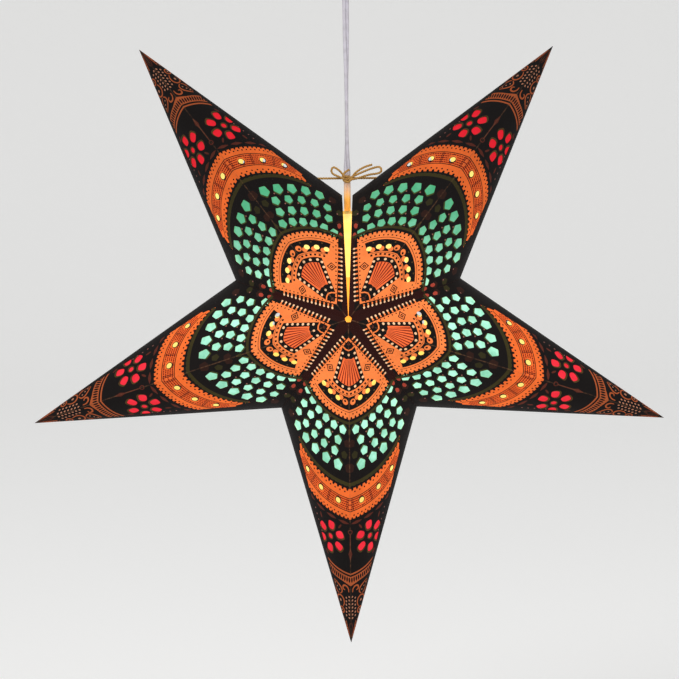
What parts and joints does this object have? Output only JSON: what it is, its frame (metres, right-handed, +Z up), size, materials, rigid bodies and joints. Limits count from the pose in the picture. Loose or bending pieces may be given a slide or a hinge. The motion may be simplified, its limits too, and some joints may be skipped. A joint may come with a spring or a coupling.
{
  "type": "paper star lantern",
  "caption": "Hanging star lantern of folded card points with cut windows, tissue behind them and a lamp inside, on a flat cord from a ceiling rose.",
  "frame": {"origin": "middle of the ceiling rose's base, on the face that meets the ceiling", "axes": "+Z up into the ceiling, -Y towards the front of the star, +X to the right seen from the front"},
  "size_m": [0.6052, 0.2278, 0.67],
  "materials": {
    "printed_card": "matt dark card printed in orange",
    "green_tissue": "translucent tissue, lit from behind",
    "red_tissue": "translucent tissue, lit from behind",
    "white_plastic": "satin",
    "dark_plastic": "matt",
    "dark_rubber": "matt",
    "cord_sheath": "satin",
    "lit_glass": "frosted, lit warm",
    "string": "twisted natural fibre"
  },
  "bodies": {
    "root": {"point_bottom": "printed_card", "point_right": "printed_card", "point_upper_right": "printed_card", "point_left": "printed_card", "point_upper_left": "printed_card", "green_tissue_bottom": "green_tissue", "green_tissue_right": "green_tissue", "green_tissue_upper_right": "green_tissue", "green_tissue_left": "green_tissue", "green_tissue_upper_left": "green_tissue", "red_tissue_bottom": "red_tissue", "red_tissue_right": "red_tissue", "red_tissue_upper_right": "red_tissue", "red_tissue_left": "red_tissue", "red_tissue_upper_left": "red_tissue", "rose_base": "white_plastic", "rose_cover": "white_plastic", "terminal_block": "dark_plastic", "rose_bush": "dark_rubber", "lamp_cord": "cord_sheath", "holder_bush": "dark_rubber", "holder_cap": "white_plastic", "holder_skirt": "white_plastic", "bulb": "lit_glass", "tie_string_left": "string", "tie_string_right": "string", "bow_loops": "string", "bow_knot": "string"}
  },
  "joints": []
}
